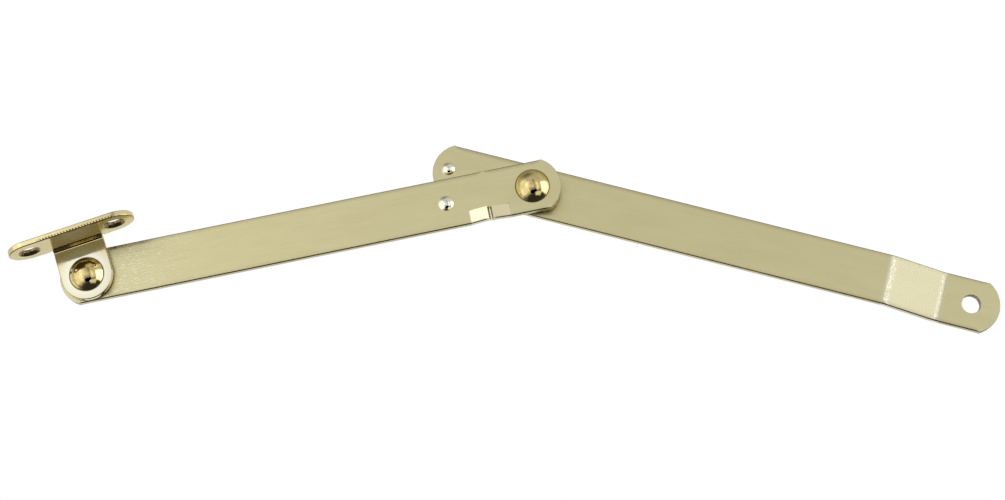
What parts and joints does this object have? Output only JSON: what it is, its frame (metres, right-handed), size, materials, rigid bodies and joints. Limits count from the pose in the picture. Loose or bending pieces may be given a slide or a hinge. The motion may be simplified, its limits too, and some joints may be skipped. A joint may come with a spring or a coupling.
{
  "type": "folding lid stay",
  "caption": "Folding friction stay: a screw-on angle bracket and two flat riveted arms, with a lanced lug, nesting detent dimples and a joggled end pad with a screw hole.",
  "frame": {"origin": "centre of the bracket's screw face, midway between its two screw holes", "axes": "+X along the bracket towards the arms, +Y towards the wall side that the arms' end pad rests on, +Z out of the bracket's screw face"},
  "size_m": [0.2428, 0.0227, 0.1012],
  "materials": {
    "bracket": "bright brass plate on steel",
    "arms": "satin pale brass plate on rolled steel strip, grained lengthwise",
    "rivets": "polished brass plate on steel",
    "friction_washers": "dark fibre",
    "spring_washers": "bright spring steel",
    "backing_washers": "brass plate on steel"
  },
  "bodies": {
    "bracket": {"fixing_bracket": "bracket", "bracket_rivet": "rivets", "bracket_friction_washer": "friction_washers", "bracket_spring_washer": "spring_washers", "bracket_backing_washer": "backing_washers"},
    "front_link": {"front_arm": "arms", "centre_rivet": "rivets", "centre_friction_washer": "friction_washers", "centre_spring_washer": "spring_washers", "centre_backing_washer": "backing_washers"},
    "rear_link": {"rear_arm": "arms"}
  },
  "joints": [
    {"name": "bracket_pivot", "type": "hinge", "parent": "bracket", "child": "front_link", "pos_m": [0, 0.00783, -0.0103], "axis": [0, 1, 0], "range_deg": [-8, 173]},
    {"name": "centre_pivot", "type": "hinge", "parent": "front_link", "child": "rear_link", "pos_m": [0.11897, 0.01146, -0.02596], "axis": [0, 1, 0], "range_deg": [-26.7, 153.3]}
  ]
}
